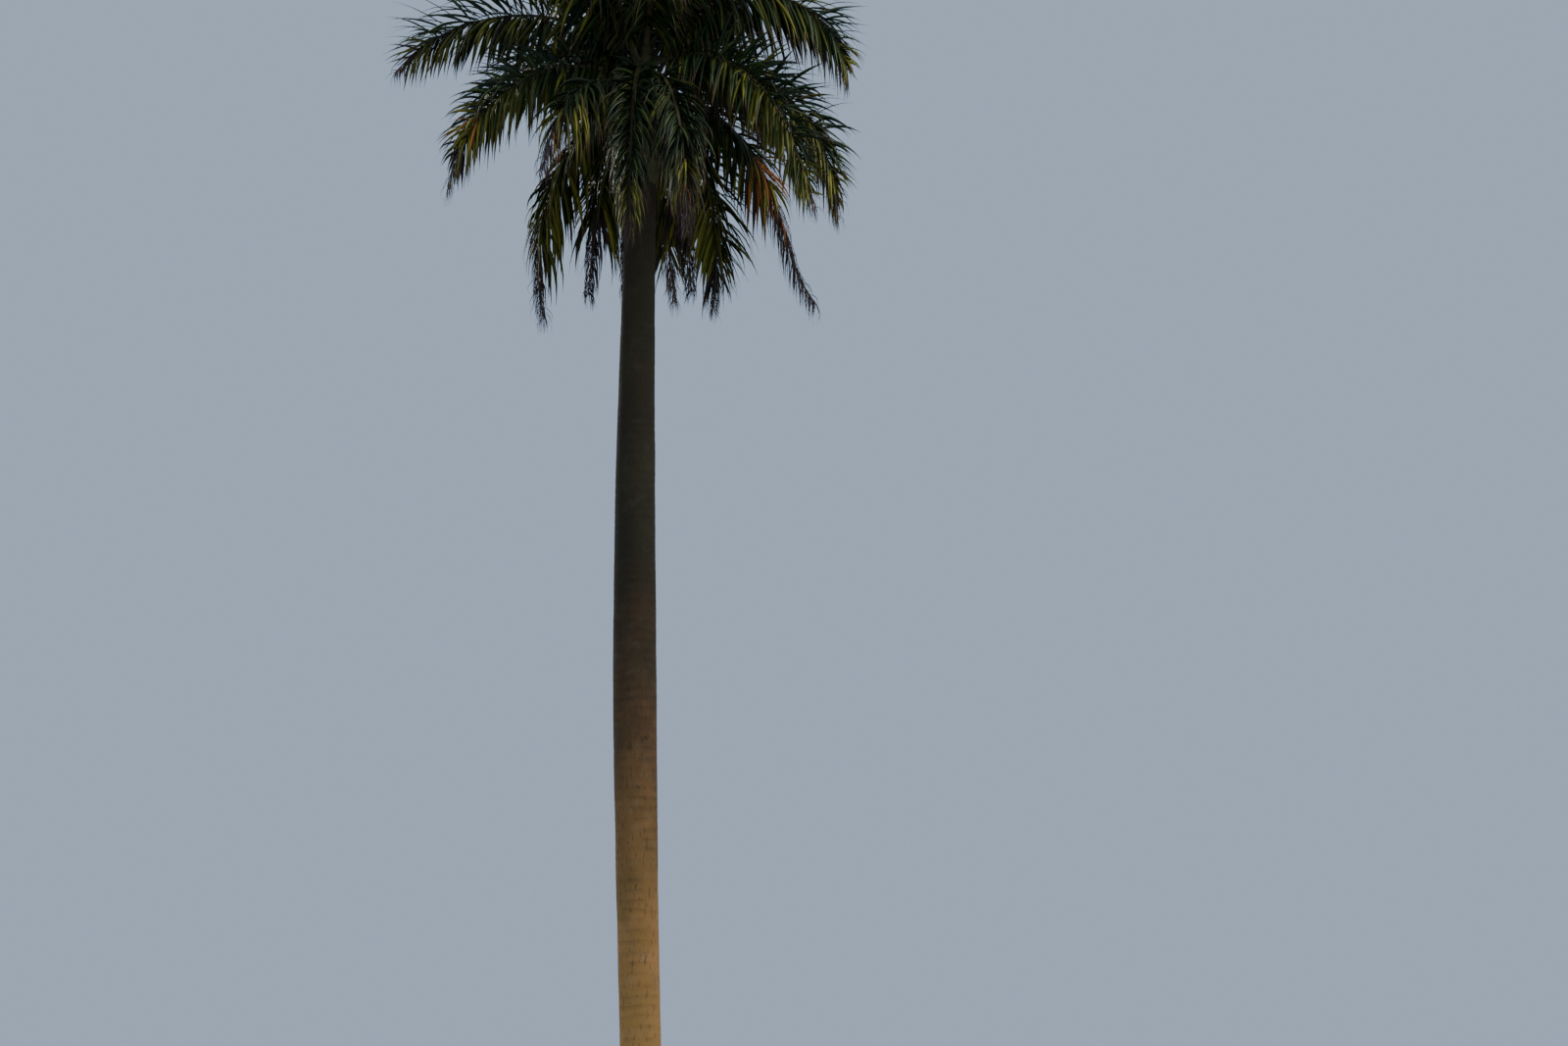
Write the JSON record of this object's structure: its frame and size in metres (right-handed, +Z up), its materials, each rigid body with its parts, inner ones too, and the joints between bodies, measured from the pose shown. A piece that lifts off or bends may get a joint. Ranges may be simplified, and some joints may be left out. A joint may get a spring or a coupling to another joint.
{
  "type": "feather palm tree",
  "caption": "Tall feather palm: smooth grey ringed trunk with a slight swelling, green leaf sheath, and a round crown of arching and hanging fronds, some withered.",
  "frame": {"origin": "centre of the flat cut under the trunk, at ground level", "axes": "+Z up along the trunk, -Y towards the viewer of the picture, +X to the viewer's right"},
  "size_m": [5.9891, 6.0193, 17.4875],
  "materials": {
    "trunk_bark": "rough grey bark with faint rings",
    "leaf_sheath": "dull olive clasping leaf bases",
    "leaf_green": "satin green leaflets",
    "leaf_olive": "satin olive and yellow leaflets",
    "leaf_withered": "dry brown leaflets"
  },
  "bodies": {
    "root": {"trunk": "trunk_bark", "sheath": "leaf_sheath", "spear_leaf": "leaf_green", "frond_01_arch": "leaf_withered", "frond_01_fall": "leaf_withered", "frond_02_arch": "leaf_olive", "frond_02_fall": "leaf_olive", "frond_03_arch": "leaf_withered", "frond_03_fall": "leaf_withered", "frond_04_arch": "leaf_olive", "frond_04_fall": "leaf_olive", "frond_05_arch": "leaf_olive", "frond_05_fall": "leaf_olive", "frond_06_arch": "leaf_withered", "frond_06_fall": "leaf_withered", "frond_07_arch": "leaf_olive", "frond_07_fall": "leaf_olive", "frond_08_arch": "leaf_olive", "frond_08_fall": "leaf_olive", "frond_09_arch": "leaf_olive", "frond_09_fall": "leaf_olive", "frond_10_arch": "leaf_olive", "frond_10_fall": "leaf_olive", "frond_11_arch": "leaf_olive", "frond_11_fall": "leaf_olive", "frond_12_arch": "leaf_green", "frond_12_fall": "leaf_green", "frond_13_arch": "leaf_green", "frond_13_fall": "leaf_green", "frond_14_arch": "leaf_green", "frond_14_fall": "leaf_green", "frond_15_arch": "leaf_green", "frond_15_fall": "leaf_green", "frond_16_arch": "leaf_green", "frond_16_fall": "leaf_green", "frond_17_arch": "leaf_green", "frond_17_fall": "leaf_green", "frond_18_arch": "leaf_green", "frond_18_fall": "leaf_green", "frond_19_arch": "leaf_green", "frond_19_fall": "leaf_green", "frond_20_arch": "leaf_green", "frond_20_fall": "leaf_green", "frond_21_arch": "leaf_green", "frond_21_fall": "leaf_green", "frond_22_arch": "leaf_green", "frond_22_fall": "leaf_green", "frond_23_arch": "leaf_green", "frond_23_fall": "leaf_green", "frond_24_arch": "leaf_green", "frond_24_fall": "leaf_green", "frond_25_arch": "leaf_green", "frond_25_fall": "leaf_green", "frond_26_arch": "leaf_green", "frond_26_fall": "leaf_green"}
  },
  "joints": []
}
